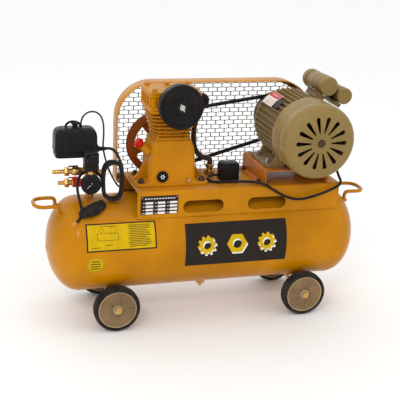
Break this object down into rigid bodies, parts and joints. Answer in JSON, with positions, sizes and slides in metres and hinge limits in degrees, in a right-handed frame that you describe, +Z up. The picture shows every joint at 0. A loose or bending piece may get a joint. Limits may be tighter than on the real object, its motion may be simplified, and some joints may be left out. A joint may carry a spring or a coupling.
{
  "type": "belt driven air compressor",
  "caption": "Wheeled piston air compressor: a motor drives a finned single-cylinder pump by V-belt behind a mesh guard, on a yellow tank.",
  "frame": {"origin": "on the floor under the middle of the machine's overall box, cords left out", "axes": "+X along the tank towards the motor end, -Y towards the slotted saddle front and fan cowl, +Z up"},
  "size_m": [1.0298, 0.388, 0.7205],
  "materials": {
    "yellow_paint": "gloss industrial yellow-orange enamel, lightly dusty",
    "orange_paint": "orange-brown primer and enamel",
    "khaki_paint": "khaki motor enamel, satin",
    "brown_paint": "red-brown painted casting",
    "wheel_hub": "moulded taupe plastic with radial ribs",
    "tyre": "black solid rubber with a cogged tread",
    "belt_rubber": "black fabric-backed rubber",
    "black_plastic": "black moulded plastic",
    "red_plastic": "red moulded plastic",
    "brass": "turned brass",
    "bright_steel": "machined steel",
    "grey_iron": "machined and cast iron",
    "guard_wire": "dark coated expanded mesh",
    "black_cable": "black rubber cable sheath",
    "brown_pipe": "dark red-brown coated tube"
  },
  "bodies": {
    "machine": {"tank_shell": "yellow_paint", "handle_left": "yellow_paint", "handle_right": "yellow_paint", "leg_left": "yellow_paint", "leg_right": "yellow_paint", "saddle": "yellow_paint", "crankcase": "yellow_paint", "cylinder": "yellow_paint", "cylinder_head": "yellow_paint", "guard_frame": "yellow_paint", "motor_base": "orange_paint", "motor_frame": "khaki_paint", "drive_end_shield": "khaki_paint", "fan_cowl": "khaki_paint", "capacitor_large": "khaki_paint", "capacitor_small": "khaki_paint", "capacitor_bracket": "khaki_paint", "v_belt": "belt_rubber", "air_filter_base": "black_plastic", "air_filter_cover": "black_plastic", "junction_box": "black_plastic", "pressure_switch": "black_plastic", "regulator": "black_plastic", "pressure_gauge": "black_plastic", "oil_plug": "red_plastic", "axle_left": "brass", "axle_right": "brass", "drain_cock": "brass", "manifold": "brass", "outlet_valve_upper": "brass", "outlet_valve_lower": "brass", "safety_valve": "brass", "check_valve": "brass", "sight_glass": "bright_steel", "guard_mesh": "guard_wire", "motor_lead": "black_cable", "power_cord_lead": "black_cable", "power_cord_hank": "black_cable", "power_cord_tail": "black_cable", "discharge_pipe": "brown_pipe", "switch_lead": "brown_pipe"},
    "wheel_front_left": {"tyre_front_left": "tyre", "wheel_hub_front_left": "wheel_hub"},
    "wheel_front_right": {"tyre_front_right": "tyre", "wheel_hub_front_right": "wheel_hub"},
    "wheel_rear_left": {"tyre_rear_left": "tyre", "wheel_hub_rear_left": "wheel_hub"},
    "wheel_rear_right": {"tyre_rear_right": "tyre", "wheel_hub_rear_right": "wheel_hub"},
    "crank": {"crankshaft": "grey_iron", "flywheel": "brown_paint"},
    "motor_shaft": {"motor_rotor": "grey_iron", "cooling_fan": "black_plastic", "motor_pulley": "grey_iron"},
    "piston_set": {"piston": "bright_steel", "connecting_rod": "grey_iron"},
    "lever_upper": {"valve_lever_upper": "black_plastic"},
    "lever_lower": {"valve_lever_lower": "red_plastic"},
    "switch_button": {"switch_knob": "black_plastic"},
    "regulator_dial": {"regulator_knob": "black_plastic"}
  },
  "joints": [
    {"name": "wheel_front_left_spin", "type": "hinge", "parent": "machine", "child": "wheel_front_left", "pos_m": [-0.29, 0.029, 0.068], "axis": [0, 1, 0], "continuous": true},
    {"name": "wheel_front_right_spin", "type": "hinge", "parent": "machine", "child": "wheel_front_right", "pos_m": [0.29, 0.029, 0.068], "axis": [0, 1, 0], "continuous": true},
    {"name": "wheel_rear_left_spin", "type": "hinge", "parent": "machine", "child": "wheel_rear_left", "pos_m": [-0.29, 0.029, 0.068], "axis": [0, 1, 0], "continuous": true},
    {"name": "wheel_rear_right_spin", "type": "hinge", "parent": "machine", "child": "wheel_rear_right", "pos_m": [0.29, 0.029, 0.068], "axis": [0, 1, 0], "continuous": true},
    {"name": "motor_spin", "type": "hinge", "parent": "machine", "child": "motor_shaft", "pos_m": [0.266, 0.029, 0.566], "axis": [0, 1, 0], "continuous": true},
    {"name": "crank_spin", "type": "hinge", "parent": "machine", "child": "crank", "pos_m": [-0.115, 0.029, 0.484], "axis": [0, 1, 0], "continuous": true},
    {"name": "piston_slide", "type": "slide", "parent": "machine", "child": "piston_set", "axis": [0, 0, 1], "range_m": [-0.044, 0]},
    {"name": "valve_upper_turn", "type": "hinge", "parent": "machine", "child": "lever_upper", "pos_m": [-0.3883, 0.029, 0.46], "axis": [0, 0, 1], "range_deg": [0, 90]},
    {"name": "valve_lower_turn", "type": "hinge", "parent": "machine", "child": "lever_lower", "pos_m": [-0.3883, 0.029, 0.4265], "axis": [0, 0, 1], "range_deg": [0, 90]},
    {"name": "switch_pull", "type": "slide", "parent": "machine", "child": "switch_button", "axis": [0, 0, 1], "range_m": [0, 0.006]},
    {"name": "regulator_turn", "type": "hinge", "parent": "machine", "child": "regulator_dial", "pos_m": [-0.355, -0.047, 0.5], "axis": [0, 1, 0], "range_deg": [-270, 270]}
  ],
  "couplings": [
    {"joint": "crank_spin", "follows": "motor_spin", "ratio": 0.7151}
  ]
}
